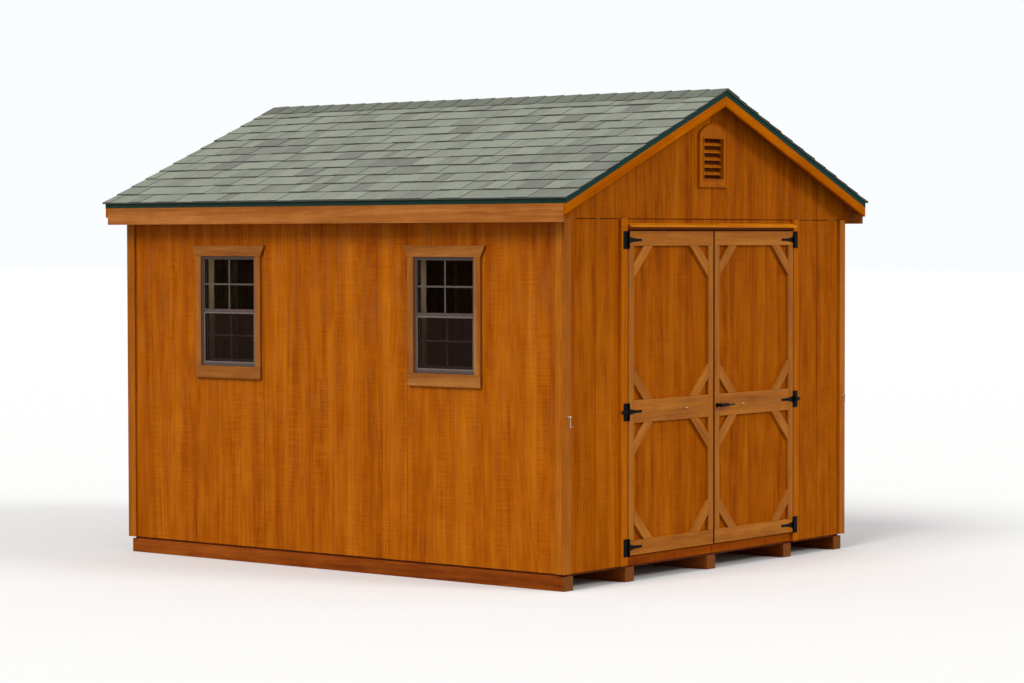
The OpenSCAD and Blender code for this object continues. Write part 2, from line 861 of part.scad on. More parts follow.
// a bevelled cap that throws water clear of the doors
module door_drip_cap() {
    x = door_opening_w / 2 - joint_gap;
    y0 = -half_l - drip_cap_foot;
    y1 = -half_l - drip_cap_reach;
    z0 = z_doorway + drip_cap_lip;
    color("chocolate")
        along_x(-x, x)
            polygon([
                [-half_l, z_doorway], [-half_l, z_doorway + drip_cap_h],
                [-half_l - drip_cap_top, z_doorway + drip_cap_h],
                [y1, z0 + drip_cap_edge], [y1, z0], [y0, z0], [y0, z_doorway]
            ]);
}

// ---- windows ----

// lay a window, drawn with its outer face on X = 0 and facing +X, in the left wall
module in_left_wall() {
    for (y = window_ys)
        translate([-half_w, y, 0]) mirror([1, 0, 0]) children();
}

// a rectangular frame with its own width at the sides, the foot and the head
module ring(xs, y, zs, side, foot, head) {
    difference() {
        block(xs, [-y, y], zs);
        block([xs[0] - cut_past, xs[1] + cut_past], [side - y, y - side],
              [zs[0] + foot, zs[1] - head]);
    }
}

module window_frames() {
    c = joint_gap;
    color("dimgray")
        in_left_wall()
            ring([window_stand - window_frame_d, window_stand], window_w / 2 - c,
                 [z_window + c, z_window_top - c],
                 window_frame_w, window_frame_foot, window_frame_w);
}

// the upper sash stands in front of the lower one
function sash_x(upper) = upper ? upper_sash_x : lower_sash_x;
function sash_zs(upper) = upper
    ? [z_meet - meeting_rail_h / 2, z_pane1 - joint_gap]
    : [z_pane0 + joint_gap, z_meet + meeting_rail_h / 2];
// width at the sides, the foot and the head
function sash_widths(upper) = upper
    ? [upper_sash_w, meeting_rail_h, upper_sash_w]
    : [lower_sash_w, sash_foot_h, meeting_rail_h];

module window_sashes() {
    color("dimgray")
        in_left_wall()
            for (upper = [false, true]) {
                x = sash_x(upper);
                widths = sash_widths(upper);
                ring([x, x + sash_d], inner_w / 2 - joint_gap, sash_zs(upper),
                     widths[0], widths[1], widths[2]);
            }
}

module window_glass() {
    c = joint_gap;
    color("black")
        in_left_wall()
            for (upper = [false, true]) {
                x = sash_x(upper) + sash_d / 2;
                zs = sash_zs(upper);
                widths = sash_widths(upper);
                y = inner_w / 2 - widths[0] - 2 * c;
                block([x - glass_t / 2, x + glass_t / 2], [-y, y],
                      [zs[0] + widths[1] + c, zs[1] - widths[2] - c]);
            }
}

// a framed insect screen in front of the lower sash
module window_screens() {
    c = joint_gap;
    x = upper_sash_x + sash_d - screen_t;
    color("gray")
        in_left_wall()
            block([x, x + screen_t], [-inner_w / 2 + c, inner_w / 2 - c],
                  [z_pane0 + c, z_meet - meeting_rail_h / 2 - c]);
}

module window_trim() {
    y1 = window_w / 2 + window_side_w;
    color("sandybrown")
        in_left_wall() {
            along_x(0, trim_t)
                polygon([
                    [-y1, z_window_top + joint_gap], [y1, z_window_top + joint_gap],
                    [y1 + head_flare, z_window_top + window_head_h],
                    [-y1 - head_flare, z_window_top + window_head_h]
                ]);
            for (side = [-1, 1])
                translate([0, side * (y1 + window_w / 2 + joint_gap) / 2, 0])
                    block([0, trim_t], [-window_side_w / 2 + joint_gap, window_side_w / 2 - joint_gap],
                          [z_window, z_window_top]);
            block([0, trim_t], [-y1, y1], [z_window - window_sill_h, z_window - joint_gap]);
        }
}

// ---- gable vents ----

// the outline of a vent, a rectangle under an arch, drawn in by a margin all round
module vent_outline(margin) {
    r = (vent_w * vent_w / 4 + vent_rise * vent_rise) / (2 * vent_rise);
    w = vent_w - 2 * margin;
    z_middle = z_vent + vent_h + vent_rise - r;
    translate([-w / 2, z_vent + margin]) square([w, z_middle - z_vent]);
    intersection() {
        translate([0, z_middle]) circle(r - margin, $fn = 96);
        translate([-w / 2, z_middle]) square([w, r]);
    }
}

// a frame with a raised rim, and slanted louvres in a sleeve that lines the hole
module gable_vents() {
    y_face = -half_l - trim_t;
    y_panel = y_face + vent_relief;
    y_slat = y_face + slat_setback;
    z_top = z_vent_open + vent_open_h;
    slat_h = slat_t + slat_fall;
    slat_gap = (vent_open_h - slat_count * slat_h) / (slat_count + 1);
    sleeve = vent_open_w / 2 + vent_rim;
    color("peru")
        both_ends() {
            difference() {
                union() {
                    difference() {
                        along_y(y_face, -half_l) vent_outline(0);
                        along_y(y_face - cut_past, y_panel) vent_outline(vent_rim);
                    }
                    block([-sleeve, sleeve], [y_face, -frame_y],
                          [z_vent_open - vent_rim, z_top + vent_rim]);
                }
                block([-vent_open_w / 2, vent_open_w / 2],
                      [y_face - cut_past, -frame_y + cut_past], [z_vent_open, z_top]);
            }
            for (i = [1 : slat_count])
                translate([0, 0, z_vent_open + i * slat_gap + (i - 1) * slat_h])
                    along_x(-vent_open_w / 2, vent_open_w / 2)
                        polygon([
                            [y_slat, 0], [y_slat, slat_t],
                            [-frame_y, slat_h], [-frame_y, slat_fall]
                        ]);
        }
}

// ---- hinges ----

// pads screwed to the casings, each with its upper and lower knuckle and the pin
module hinge_pad(z, tail) {
    plate_y = trim_face_y - plate_t;
    inner = door_opening_w / 2;
    difference() {
        union() {
            block([hinge_x + barrel_r / 2, inner + pad_w], [plate_y, trim_face_y],
                  [z - pad_h / 2, z + pad_h / 2]);
            for (end = [-1, 1])
                translate([hinge_x, hinge_y, z + end * (strap_root_h + pad_h) / 4])
                    knuckle((pad_h - strap_root_h) / 2 - hardware_gap);
        }
        block([hinge_x - barrel_r - hardware_gap, hinge_x + barrel_r + hardware_gap],
              [hinge_y - barrel_r - cut_past, trim_face_y + cut_past],
              [z - (strap_root_h + hardware_gap) / 2, z + (strap_root_h + hardware_gap) / 2]);
    }
    translate([hinge_x, hinge_y, z - pad_h / 2]) cylinder(r = hinge_pin_r, h = pad_h);
    if (tail)
        along_y(trim_face_y - tail_t, trim_face_y)
            polygon([
                [inner + pad_w / 4, z - strap_root_h / 2], [inner + pad_w + tail_l, z],
                [inner + pad_w / 4, z + strap_root_h / 2]
            ]);
}

module knuckle(h) {
    cylinder(r = barrel_r, h = h, center = true);
}

module hinge_pads() {
    color("black")
        both_sides()
            for (i = [0 : 2]) hinge_pad(hinge_zs[i], i == 1);
}

// half the height of a strap, at a share s of the way from its root to its tip
function strap_half(s) =
    strap_tip_h / 2 + (strap_root_h / 2 - hardware_gap - strap_tip_h / 2) * pow(1 - s, 3);

// a strap that sweeps in from its knuckle to a slim stem with a round tip
module strap(z) {
    plate_y = trim_face_y - plate_t;
    x_root = hinge_x - barrel_stand;
    x_tip = hinge_x - strap_l + strap_tip_h / 2;
    stations = [0 : 0.125 : 1];
    difference() {
        union() {
            translate([hinge_x, hinge_y, z]) knuckle(strap_root_h - hardware_gap);
            along_y(plate_y, trim_face_y) {
                polygon(concat(
                    [for (s = stations) [x_root + (x_tip - x_root) * s, z + strap_half(s)]],
                    [for (s = stations)
                        [x_tip + (x_root - x_tip) * s, z - strap_half(1 - s)]]
                ));
                translate([x_tip, z]) circle(strap_tip_h / 2);
            }
        }
        translate([hinge_x, hinge_y, z])
            cylinder(r = hinge_pin_r + hardware_gap, h = 2 * strap_root_h, center = true);
    }
}

module door_straps() {
    color("black")
        for (z = hinge_zs) strap(z);
}

// ---- door leaves ----

module leaf_panel() {
    color("peru")
        translate([0, -half_l + leaf_panel_t, z_leaf]) mirror([0, 1, 0])
            linear_extrude(leaf_h) sheet_plan(leaf_x0, leaf_x1, leaf_panel_t, false, false);
}

// a brace across the corner of one panel, its right angle at the origin
module brace() {
    leg = brace_w * sqrt(2);
    g = board_joint;
    polygon([[g, brace_reach], [g, brace_reach - leg], [brace_reach - leg, g], [brace_reach, g]]);
}

module leaf_trim() {
    g = board_joint / 2;
    x0 = leaf_x0 + stile_w;
    x1 = leaf_x1 - stile_w;
    z_low_rail = z_leaf + rail_w;
    z_top_rail = z_leaf_top - rail_w;
    color("sandybrown")
        along_y(trim_face_y, -half_l) {
            // rails
            translate([leaf_x0, z_leaf]) square([leaf_w, rail_w]);
            translate([leaf_x0, z_top_rail]) square([leaf_w, rail_w]);
            translate([x0 + g, z_mid_rail]) square([x1 - x0 - 2 * g, mid_rail_w]);
            // stiles
            for (x = [leaf_x0, x1])
                translate([x, z_low_rail + board_joint])
                    square([stile_w, z_top_rail - z_low_rail - 2 * board_joint]);
            // braces at the corners of both panels
            for (panel = [[z_low_rail, z_mid_rail], [z_mid_rail + mid_rail_w, z_top_rail]]) {
                translate([x0, panel[0]]) brace();
                translate([x1, panel[0]]) mirror([1, 0]) brace();
                translate([x0, panel[1]]) mirror([0, 1]) brace();
                translate([x1, panel[1]]) mirror([1, 0]) mirror([0, 1]) brace();
            }
        }
}

module right_door_panel() { leaf_panel(); }
module left_door_panel() { mirror([1, 0, 0]) leaf_panel(); }
module right_door_trim() { leaf_trim(); }
module left_door_trim() { mirror([1, 0, 0]) leaf_trim(); }
module right_door_straps() { door_straps(); }
module left_door_straps() { mirror([1, 0, 0]) door_straps(); }

// ---- eyes, hooks and handle ----

// an eye screw that stands out of a face, its ring level
module eye_screw() {
    rotate([90, 0, 0]) cylinder(r = eye_collar_r, h = eye_collar);
    translate([0, -eye_collar, 0]) rotate([90, 0, 0])
        cylinder(r = wire_r, h = eye_neck + wire_r);
    translate([0, -eye_reach, 0])
        rotate_extrude() translate([eye_ring_r, 0]) circle(wire_r);
}

module door_eye() {
    color("silver") translate([door_eye_x, trim_face_y, hook_z]) eye_screw();
}

module right_door_eye() { door_eye(); }
module left_door_eye() { mirror([1, 0, 0]) door_eye(); }

module hold_back_eyes() {
    color("silver") both_sides() translate([hook_x, trim_face_y, hook_z]) eye_screw();
}

// a hook whose loop, bored to turn on the front of the eye's ring, carries a wire
// with its end bent towards the doors
module hook() {
    loop_r = hook_bore_r + 0.8 * wire_r;
    color("silver")
        translate([hook_x, hook_pivot_y, hook_z]) {
            rotate([0, 90, 0]) difference() {
                rotate_extrude() translate([loop_r, 0]) circle(wire_r);
                cylinder(r = hook_bore_r, h = 4 * wire_r, center = true);
            }
            translate([0, 0, -hook_l]) {
                cylinder(r = wire_r, h = hook_l - loop_r);
                sphere(wire_r);
                rotate([0, -90, 0]) cylinder(r = wire_r, h = hook_foot);
            }
        }
}

module right_hook() { hook(); }
module left_hook() { mirror([1, 0, 0]) hook(); }

module right_handle_rose() {
    color("black")
        translate([handle_x, trim_face_y, z_mid]) rotate([90, 0, 0]) cylinder(r = rose_r, h = rose_t);
}

// a lever with a stout grip and a slim tail, on a hub that stands out of the rose
module door_handle() {
    y_hub = trim_face_y - rose_t - hardware_gap;
    y_lever = trim_face_y - lever_stand;
    hub_r = rose_r - 1;
    grip_r = hub_r - 2;
    tail_r = lever_tail_h / 2;
    color("black")
        translate([handle_x, 0, z_mid]) {
            translate([0, y_hub, 0]) rotate([90, 0, 0])
                cylinder(r = hub_r, h = y_hub - y_lever + lever_t);
            along_y(y_lever - lever_t, y_lever)
                polygon([
                    [0, -hub_r], [grip_l, -grip_r], [grip_l + tail_r, -tail_r],
                    [lever_l - tail_r, -tail_r], [lever_l, 0], [lever_l - tail_r, tail_r],
                    [grip_l + tail_r, tail_r], [grip_l, grip_r], [0, hub_r]
                ]);
        }
}

skids();
floor_frame();
floor_deck();
left_wall_siding();
right_wall_siding();
back_wall_siding();
front_siding_left();
front_siding_right();
front_siding_over_door();
front_siding_under_doors();
front_gable_siding();
back_gable_siding();
left_wall_studs();
right_wall_studs();
back_wall_studs();
front_studs_left();
front_studs_right();
front_header();
rafters();
ridge_board();
roof_deck();
roof_shingles();
ridge_cap();
eave_drip_edges();
rake_drip_edges();
fascias();
rake_boards();
soffits();
corner_boards();
door_casings();
door_drip_cap();
window_frames();
window_sashes();
window_glass();
window_screens();
window_trim();
gable_vents();
hinge_pads();
hold_back_eyes();
left_door_panel();
left_door_trim();
left_door_straps();
left_door_eye();
right_door_panel();
right_door_trim();
right_door_straps();
right_door_eye();
right_handle_rose();
door_handle();
left_hook();
right_hook();
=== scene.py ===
"""Looks of a gabled wooden storage shed, dressed on its CAD frame."""

import json
import math
import random

import bmesh
import bpy
from mathutils import Matrix, Vector

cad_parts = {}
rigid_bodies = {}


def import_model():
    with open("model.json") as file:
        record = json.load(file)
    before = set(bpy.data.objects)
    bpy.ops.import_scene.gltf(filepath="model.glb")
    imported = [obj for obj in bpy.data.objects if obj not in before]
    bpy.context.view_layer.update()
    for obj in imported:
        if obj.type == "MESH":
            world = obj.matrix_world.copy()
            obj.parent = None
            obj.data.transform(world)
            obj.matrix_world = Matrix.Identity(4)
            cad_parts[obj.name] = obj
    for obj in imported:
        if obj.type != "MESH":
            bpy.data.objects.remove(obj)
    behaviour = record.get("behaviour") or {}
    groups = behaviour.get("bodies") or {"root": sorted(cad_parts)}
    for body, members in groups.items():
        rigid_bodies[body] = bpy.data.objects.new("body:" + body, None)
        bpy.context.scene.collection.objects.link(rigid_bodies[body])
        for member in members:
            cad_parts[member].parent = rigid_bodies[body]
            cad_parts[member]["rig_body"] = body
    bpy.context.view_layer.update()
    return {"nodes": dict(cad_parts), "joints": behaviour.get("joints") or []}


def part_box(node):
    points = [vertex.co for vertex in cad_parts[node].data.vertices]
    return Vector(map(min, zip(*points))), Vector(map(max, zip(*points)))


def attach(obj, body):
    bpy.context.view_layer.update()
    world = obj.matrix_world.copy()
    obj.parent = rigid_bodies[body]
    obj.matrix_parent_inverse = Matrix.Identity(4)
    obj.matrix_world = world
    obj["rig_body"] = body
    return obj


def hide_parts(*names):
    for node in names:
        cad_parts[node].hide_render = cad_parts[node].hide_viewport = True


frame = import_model()
dice = random.Random(12)

# Sizes in metres that the CAD nodes don't give by their boxes.
ROOF_ANGLE = math.radians(22.62)
EXPOSURE = 0.143            # what each course of shingles shows
COURSES = 11
SHINGLE_DRIP = 0.0131       # how far the shingles run past the drip edge, down the slope
CAP_REACH = 0.135           # of the ridge cap, down each slope
CAP_TABS = 27
BOARD = 0.2032              # of the siding, from groove to groove
GROOVE = 0.006
WALL_END = 1.829            # from the middle of the shed to its gable walls
PLATE = 0.0381              # the foot plate of a framed wall
HEADER_TO_PLATE = 0.1402
LEAF_EDGE = 0.0075          # takes in the meeting edge of each leaf, painted dark as the shade in the gap
CAP_LIP = 0.0155            # the part of the drip cap under its lip, from its foot, which takes painted shade
FACE = 0.001                # takes in a face that lies on a given plane

SLOPE_S, SLOPE_C = math.sin(ROOF_ANGLE), math.cos(ROOF_ANGLE)
ridge_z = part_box("roof_deck")[1].z
shingle_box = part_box("roof_shingles")
slope_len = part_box("eave_drip_edges")[1].x / SLOPE_C + SHINGLE_DRIP


# ---- camera and light ----

CAMERA_PLACE = (-14.9733, -12.2304, 2.0861)
CAMERA_TURN, CAMERA_DROP, CAMERA_ROLL = -51.252, 2.026, -0.099      # degrees
DAYLIGHT = (1.0, 0.98, 0.95)


def set_camera():
    data = bpy.data.cameras.new("camera")
    data.lens = 101.34
    data.sensor_width = 36.0
    data.clip_end = 400.0
    camera = bpy.data.objects.new("camera", data)
    camera.matrix_world = (
        Matrix.Translation(CAMERA_PLACE)
        @ Matrix.Rotation(math.radians(CAMERA_TURN), 4, "Z")
        @ Matrix.Rotation(math.radians(90 - CAMERA_DROP), 4, "X")
        @ Matrix.Rotation(math.radians(CAMERA_ROLL), 4, "Z")
    )
    bpy.context.scene.collection.objects.link(camera)
    bpy.context.scene.camera = camera


def sun(name, strength, toward, spread):
    """Daylight from one side, toward which it faces, spread over some degrees."""
    data = bpy.data.lights.new(name, "SUN")
    data.energy = strength
    data.color = DAYLIGHT
    data.angle = math.radians(spread)
    made = bpy.data.objects.new(name, data)
    made.rotation_euler = Vector(toward).to_track_quat("Z", "Y").to_euler()
    bpy.context.scene.collection.objects.link(made)


# ---- finishes ----

class Tone:
    """A socket in a sum: arithmetic with it, on either side, adds the Math nodes."""

    def __init__(self, finish, socket):
        self.finish = finish
        self.socket = socket

    def _math(self, operation, a, b=0.0):
        return self.finish.node("Math", {"operation": operation}, {0: a, 1: b})

    def __add__(self, other):
        return self._math("ADD", self, other)

    __radd__ = __add__

    def __sub__(self, other):
        return self._math("SUBTRACT", self, other)

    def __rsub__(self, other):
        return self._math("SUBTRACT", other, self)

    def __mul__(self, other):
        return self._math("MULTIPLY", self, other)

    __rmul__ = __mul__

    def __truediv__(self, other):
        return self._math("DIVIDE", self, other)

    def __rtruediv__(self, other):
        return self._math("DIVIDE", other, self)

    def __lt__(self, other):
        return self._math("LESS_THAN", self, other)

    def __gt__(self, other):
        return self._math("GREATER_THAN", self, other)

    def __abs__(self):
        return self._math("ABSOLUTE", self)

    def __floor__(self):
        return self._math("FLOOR", self)

    def power(self, exponent):
        return self._math("POWER", self, exponent)

    def least(self, other):
        return self._math("MINIMUM", self, other)

    def wave(self):
        return self._math("SINE", self)


def rgb(red, green, blue):
    """A colour given in bytes, as the linear numbers that a shader takes."""
    return tuple(
        (c / 255 / 12.92) if c < 11 else ((c / 255 + 0.055) / 1.055) ** 2.4
        for c in (red, green, blue)
    ) + (1.0,)


class Finish:
    """One material, or the world, and the nodes that make it."""

    def __init__(self, name, group="materials"):
        self.material = getattr(bpy.data, group).new(name)
        self.material.use_nodes = True
        self.tree = self.material.node_tree
        self.tree.nodes.clear()

    def node(self, kind, settings, sockets, out=0):
        made = self.tree.nodes.new("ShaderNode" + kind)
        for key, value in settings.items():
            if key == "stops":
                ramp = made.color_ramp
                while len(ramp.elements) < len(value):
                    ramp.elements.new(0.5)
                for element, (position, colour) in zip(ramp.elements, value):
                    element.position = position
                    element.color = colour
            else:
                setattr(made, key, value)
        for key, value in sockets.items():
            if isinstance(value, Tone):
                self.tree.links.new(value.socket, made.inputs[key])
            else:
                made.inputs[key].default_value = value
        return Tone(self, made.outputs[out]) if made.outputs else None

    def parts(self, vector):
        return [self.node("SeparateXYZ", {}, {0: vector}, i) for i in range(3)]

    def place(self):
        """The point of the surface, as three numbers."""
        return self.parts(self.node("TexCoord", {}, {}, "Object"))

    def vector(self, x, y, z):
        return self.node("CombineXYZ", {}, {0: x, 1: y, 2: z})

    def noise(self, x, y, z, detail=2.0, rough=0.5):
        """Soft random tone, with one patch to each unit of x, y and z."""
        return self.node(
            "TexNoise", {}, {"Vector": self.vector(x, y, z), "Scale": 1.0,
                             "Detail": detail, "Roughness": rough})

    def chance(self, x, y, z):
        """One random number for each whole x, y and z."""
        return self.node("TexWhiteNoise", {}, {"Vector": self.vector(x, y, z)})

    def ramp(self, value, *stops):
        return self.node("ValToRGB", {"stops": stops}, {0: value})

    def mix(self, share, a, b, way="MIX"):
        return self.node("Mix", {"data_type": "RGBA", "blend_type": way},
                         {0: share, 6: a, 7: b}, 2)

    def attribute(self, name, out):
        return self.node("Attribute", {"attribute_name": name}, {}, out)

    def range(self, value, low, high):
        """0 below low and 1 above high."""
        return self.node("MapRange", {}, {0: value, 1: low, 2: high})

    def seen(self):
        """1 for what is seen directly, in a reflection or through glass."""
        return sum(self.node("LightPath", {}, {}, ray)
                   for ray in ("Is Camera Ray", "Is Glossy Ray", "Is Transmission Ray")).least(1.0)

    def surface(self, colour, rough, height=None, depth=0.001, **sockets):
        """The shader; height is the relief in units of depth, in metres."""
        sockets.update({"Base Color": colour, "Roughness": rough})
        if height is not None:
            sockets["Normal"] = self.node("Bump", {}, {"Height": height, "Distance": depth,
                                                       "Strength": 1.0})
        shader = self.node("BsdfPrincipled", {}, {
            key.replace("_", " "): value for key, value in sockets.items()})
        self.node("OutputMaterial", {}, {0: shader})
        return self


def turned(a, b, mask):
    """Two numbers, changed over where the mask is 1."""
    swap = (b - a) * mask
    return a + swap, b - swap


def groove(b):
    """1 in the grooves between the boards of the siding."""
    along = b / BOARD + 0.5
    return abs(along - math.floor(along) - 0.5) < GROOVE / BOARD


def lay_of_siding(across):
    """Upright grain, a chance for each board between two grooves, and the grooves set apart for
    painted light.
    """
    def lay(finish):
        x, y, z = finish.place()
        b, c = (x, y) if across == "X" else (y, x)
        board = math.floor(b / BOARD)
        side = c > 0.0
        return z, b, c, finish.chance(board, side, 3.0), None, groove(b)
    return lay


def lay_along(axis, plank=0.4):
    """Grain along one axis, and a chance for each plank of that width beside it."""
    def lay(finish):
        x, y, z = finish.place()
        a, b, c = {"X": (x, y, z), "Y": (y, x, z), "Z": (z, x, y)}[axis]
        chance = finish.chance(math.floor(b / plank), math.floor(c / plank), 1.0)
        return a, b, c, chance, None, None
    return lay


def lay_of_boards(finish):
    """Each board's own grain, as boards() wrote it."""
    a, b, c = finish.parts(finish.attribute("grain", 1))
    return a, b, c, finish.attribute("board", 2), finish.attribute("end", 2), None


def lay_of_cap(finish):
    """The boards' own lay, with the part under the lip that keeps the rain off set apart for
    painted shade.
    """
    z = finish.place()[2]
    return *lay_of_boards(finish)[:5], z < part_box("door_drip_cap")[0].z + CAP_LIP


def lay_of_leaf(finish):
    """The boards' own lay, with the edges where the two leaves meet set apart for painted shade.
    """
    x = finish.place()[0]
    return *lay_of_boards(finish)[:5], abs(x) < LEAF_EDGE


def lay_of_wall(across):
    """Upright studs between plates that lie along the wall."""
    z_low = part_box("back_wall_studs")[0].z + PLATE
    z_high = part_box("front_header")[0].z + HEADER_TO_PLATE

    def lay(finish):
        x, y, z = finish.place()
        b, c = (x, y) if across == "X" else (y, x)
        plates = (z < z_low) + (z > z_high)
        a, b = turned(z, b, plates)
        chance = finish.chance(math.floor(b / 0.1), math.floor(c / 0.5), plates)
        return a, b, c, chance, None, None
    return lay


def lay_of_header(finish):
    """The lay of its wall, with the outer face set apart for painted shade."""
    y = finish.place()[1]
    return *lay_of_wall("X")(finish)[:5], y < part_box("front_header")[0].y + FACE


def wood(name, lay, tones, spread=0.12, rough=0.55, sawn=0.0, figure=1.0, gloss=0.1,
         contrast=1.0, stain_and_painted_shade=None, bare=0.0, painted_light=0.15, painted_sheen=0.0, ends=None,
         shade=None):
    """Timber: streaks along the grain, boards of different tone, rings on its ends.

    tones are its dark, middle and light colours, and ends those of the cut ends.
    sawn gives fine saw marks across the grain, and figure the arched rings of its face.
    Past the gable walls the timber takes the other tones given, where they are: its stain darkened
    further as painted shade under the overhangs. A
    sheet is left unstained on the side that lies less than bare from the shed's middle.
    The share of painted sheen gives duller, browner patches that stand for sky sheen on the stain,
    most of them near the top of a wall.
    What the lay sets apart takes painted light by the given share (the grooves, lighter against
    their shade), painted shade where the share is negative, and the painted shade colour shade if
    given.
    """
    def toned(three):
        return f.ramp(share, *zip((0.0, 0.5, 1.0), three))

    f = Finish(name)
    a, b, c, board, end, painted_light_mask = lay(f)
    shift = board * 37.0
    drift = f.noise(a * 0.9 + shift, b * 5.0, c * 5.0, 1.0) - 0.5
    across = b + drift * 0.03
    broad = f.noise(a * 0.5 + shift, across * 12.0, c * 12.0, 3.0, 0.55)
    streak = f.noise(a * 2.6 + shift, across * 70.0, c * 70.0, 4.0, 0.6)
    fine = f.noise(a * 22.0 + shift, across * 330.0, c * 330.0, 2.0, 0.6)
    arches = 3.2 if end is None else 9.0
    rings = (f.noise(a * 0.4 + shift, b * arches, c * arches, 1.0) * 95.0 + drift * 5.0).wave()
    clouds = f.noise(a * 4.5 + shift, b * 11.0, c * 11.0, 2.0)
    tone = (broad * 0.85 + streak * 0.5 + fine * 0.25 + clouds * 0.4 - 1.0) * contrast
    tone = tone + (board - 0.5) * spread + rings * (0.045 * figure)
    # Painted light on what the lay sets apart (painted shade where the share is negative), and a
    # tone that darkens as a runs from 1.5 to 2.2 m, up a wall.
    if painted_light_mask is not None:
        tone = tone + painted_light_mask * painted_light - f.range(a, 1.5, 2.2) * 0.1
    relief = streak * 0.6 + fine * 0.4 + rings * (0.12 * figure)
    if sawn:
        marks = f.noise(a * 105.0 + shift, b * 4.0, c * 4.0, 1.0)
        patch = f.range(f.noise(a * 1.1 + shift, b * 6.5, c * 6.5, 1.0), 0.36, 0.62)
        marks = (marks - 0.5) * patch * sawn
        tone = tone + marks * 0.35
        relief = relief + marks * 1.6
    share = f.range(tone, -0.4, 0.4)
    colour = toned(tones)
    # Painted sheen: patches that stand for the sky's sheen on the stain, more of them higher up.
    if painted_sheen:
        patch = f.range(f.noise(a * 5.0 + shift, b * 24.0, c * 24.0, 3.0), 0.45, 0.68)
        high = f.range(a, 0.4, 2.2) * 0.8 + 0.2
        colour = f.mix(patch * high * painted_sheen, colour, rgb(154, 88, 38))
    if bare:
        colour = f.mix(abs(c) < bare, colour, toned(sheet_tones))
    if stain_and_painted_shade:
        colour = f.mix(abs(f.place()[1]) > WALL_END, colour, toned(stain_and_painted_shade))
    if end is not None:
        pith_b, pith_c = b + (board - 0.5) * 0.12, c + 0.055
        years = ((pith_b * pith_b + pith_c * pith_c).power(0.5) * 900.0 + drift * 6.0).wave()
        colour = f.mix(end, colour, f.mix(years * 0.3 + 0.35, *(ends or tones[:2])))
    if shade:
        colour = f.mix(painted_light_mask, colour, shade)
    return f.surface(colour, f.range(streak, 0.0, 1.0) * 0.12 + (rough - 0.06), relief, 0.0012,
                     Specular_IOR_Level=gloss)


# ---- modelling ----

def keep(name, bm, finish, body, smooth=False):
    """A finished shape as a piece that rides on a body."""
    mesh = bpy.data.meshes.new(name)
    bm.to_mesh(mesh)
    bm.free()
    mesh.materials.append(finish.material)
    if smooth:
        mesh.shade_smooth()
    piece = bpy.data.objects.new(name, mesh)
    bpy.context.scene.collection.objects.link(piece)
    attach(piece, body)
    return piece


def body_of(node):
    return frame["nodes"][node]["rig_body"]


def ease(bm, edges, width, segments=2):
    bmesh.ops.bevel(bm, geom=edges, offset=width, offset_type="OFFSET", affect="EDGES",
                    segments=segments, profile=0.5, material=-1, clamp_overlap=True)


def sharp_edges(bm, angle=0.5):
    return [e for e in bm.edges if len(e.link_faces) == 2 and e.calc_face_angle(0.0) > angle]


def solids_of(bm):
    """The vertices of each separate solid."""
    left = set(bm.verts)
    while left:
        found = {left.pop()}
        edge = list(found)
        while edge:
            for link in edge.pop().link_edges:
                for vert in link.verts:
                    if vert in left:
                        left.remove(vert)
                        found.add(vert)
                        edge.append(vert)
        yield found


def middle_of(verts):
    """The mean place of some vertices, which the order of a set can't change."""
    return sum(map(Vector, sorted(tuple(vert.co) for vert in verts)), Vector()) / len(verts)


def largest(items, size):
    """The item of the largest size, and between equals the same one on every run."""
    return max(items, key=lambda item: (
        size(item), tuple(round(v, 4) for v in middle_of(item.verts))))


def copy_of(node):
    """A CAD node's shape with its loose triangles joined up into faces."""
    bm = bmesh.new()
    bm.from_mesh(frame["nodes"][node].data)
    bmesh.ops.remove_doubles(bm, verts=bm.verts, dist=1e-5)
    bmesh.ops.dissolve_limit(bm, angle_limit=0.02, verts=bm.verts, edges=bm.edges)
    return bm


def boards(node, finish, width=0.0012):
    """Stands for a node of boards: edges eased, and each board's own grain written on it."""
    bm = copy_of(node)
    ease(bm, sharp_edges(bm), width)
    grain = bm.verts.layers.float_vector.new("grain")
    tone = bm.verts.layers.float.new("board")
    cut_end = bm.faces.layers.float.new("end")
    solids = sorted(solids_of(bm), key=lambda s: tuple(round(v, 4) for v in min(
        tuple(p.co) for p in s)))
    for solid in solids:
        faces = {face for vert in solid for face in vert.link_faces}
        widest = largest(faces, lambda face: round(face.calc_area(), 7))
        longest = largest({e for face in faces for e in face.edges},
                          lambda e: round(e.calc_length(), 5))
        along = (longest.verts[1].co - longest.verts[0].co).normalized()
        if max(along, key=abs) < 0:
            along = -along
        out = widest.normal
        across = along.cross(out)
        middle = middle_of(solid)
        chance = dice.random()
        for vert in solid:
            from_middle = vert.co - middle
            vert[grain] = (from_middle.dot(along), from_middle.dot(across),
                           from_middle.dot(out))
            vert[tone] = chance
        for face in faces:
            face[cut_end] = float(abs(face.normal.dot(along)) > 0.8)
    piece = keep(node + "_boards", bm, finish, body_of(node))
    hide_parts(node)


def heads(name, places, radius, height, finish, body, sides=10):
    """Domed heads of screws or nails, each at a point and facing a way."""
    bm = bmesh.new()
    for point, facing in places:
        turn = Vector(facing).to_track_quat("Z", "Y").to_matrix().to_4x4()
        for low, high, r1, r2 in ((0.0, 0.6, 1.0, 0.86), (0.6, 1.0, 0.86, 0.45)):
            bmesh.ops.create_cone(
                bm, cap_ends=True, segments=sides, radius1=radius * r1, radius2=radius * r2,
                depth=height * (high - low),
                matrix=Matrix.Translation(point) @ turn
                @ Matrix.Translation((0, 0, height * (low + high) / 2)))
    keep(name, bm, finish, body)


def slab(bm, low, high):
    """A box between two corners."""
    low, high = Vector(low), Vector(high)
    return bmesh.ops.create_cube(bm, size=1.0, matrix=Matrix.Translation((low + high) / 2)
                                 @ Matrix.Diagonal((*(high - low), 1.0)))["verts"]


set_camera()
sun("side_light", 2.14, (-1.0, -0.04, 1.0), 30)
sun("front_light", 1.1, (0.3, -1.0, 0.7), 18)

# ---- finishes of the shed ----

